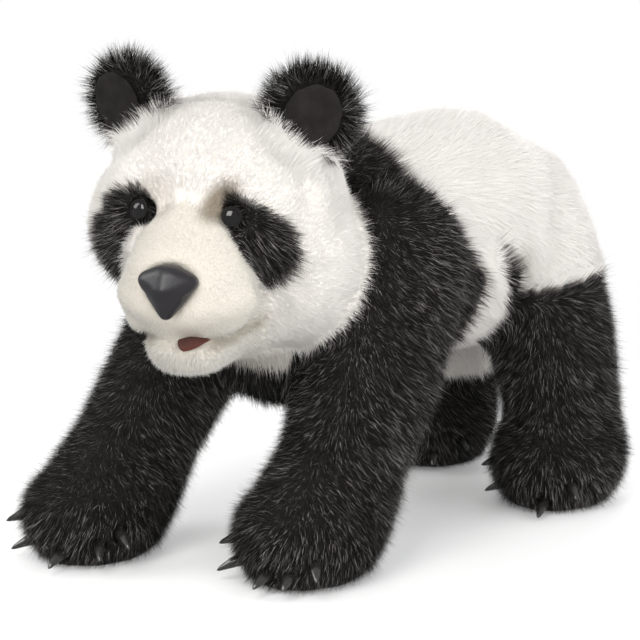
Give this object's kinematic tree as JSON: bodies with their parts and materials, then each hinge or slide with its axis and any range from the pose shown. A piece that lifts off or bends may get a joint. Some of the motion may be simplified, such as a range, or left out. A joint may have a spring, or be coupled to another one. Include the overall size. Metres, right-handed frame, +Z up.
{
  "type": "plush panda toy",
  "caption": "Long-pile plush toy panda standing on all fours with its head turned, with moulded eyes, nose and claws.",
  "frame": {"origin": "on the floor, under the middle of the toy's bounding box", "axes": "+Z up; the toy's body faces -Y and its own left side is +X"},
  "size_m": [0.1956, 0.372, 0.2613],
  "materials": {
    "white_pile": "off-white long pile plush, matte with a soft sheen",
    "black_pile": "black long pile plush with glossy fibre tips",
    "charcoal_nap": "charcoal short-nap cloth",
    "red_cloth": "brick-red brushed cloth",
    "satin_plastic": "charcoal satin moulded plastic",
    "eye_plastic": "glossy black moulded plastic",
    "claw_plastic": "glossy black moulded plastic"
  },
  "bodies": {
    "root": {"claw_front_left_1": "claw_plastic", "claw_front_left_2": "claw_plastic", "claw_front_left_3": "claw_plastic", "claw_front_left_4": "claw_plastic", "claw_front_left_5": "claw_plastic", "claw_front_right_1": "claw_plastic", "claw_front_right_2": "claw_plastic", "claw_front_right_3": "claw_plastic", "claw_front_right_4": "claw_plastic", "claw_front_right_5": "claw_plastic", "claw_hind_left_1": "claw_plastic", "claw_hind_left_2": "claw_plastic", "claw_hind_left_3": "claw_plastic", "claw_hind_left_4": "claw_plastic", "claw_hind_left_5": "claw_plastic", "claw_hind_right_1": "claw_plastic", "claw_hind_right_2": "claw_plastic", "claw_hind_right_3": "claw_plastic", "claw_hind_right_4": "claw_plastic", "claw_hind_right_5": "claw_plastic", "ear_left": "black_pile", "ear_lining_left": "charcoal_nap", "ear_lining_right": "charcoal_nap", "ear_right": "black_pile", "eye_left": "eye_plastic", "eye_right": "eye_plastic", "head": "white_pile", "leg_front_left": "black_pile", "leg_front_right": "black_pile", "leg_hind_left": "black_pile", "leg_hind_right": "black_pile", "lower_jaw": "white_pile", "mouth_lining": "red_cloth", "neck": "black_pile", "nose": "satin_plastic", "tail": "white_pile", "trunk": "white_pile"}
  },
  "joints": []
}
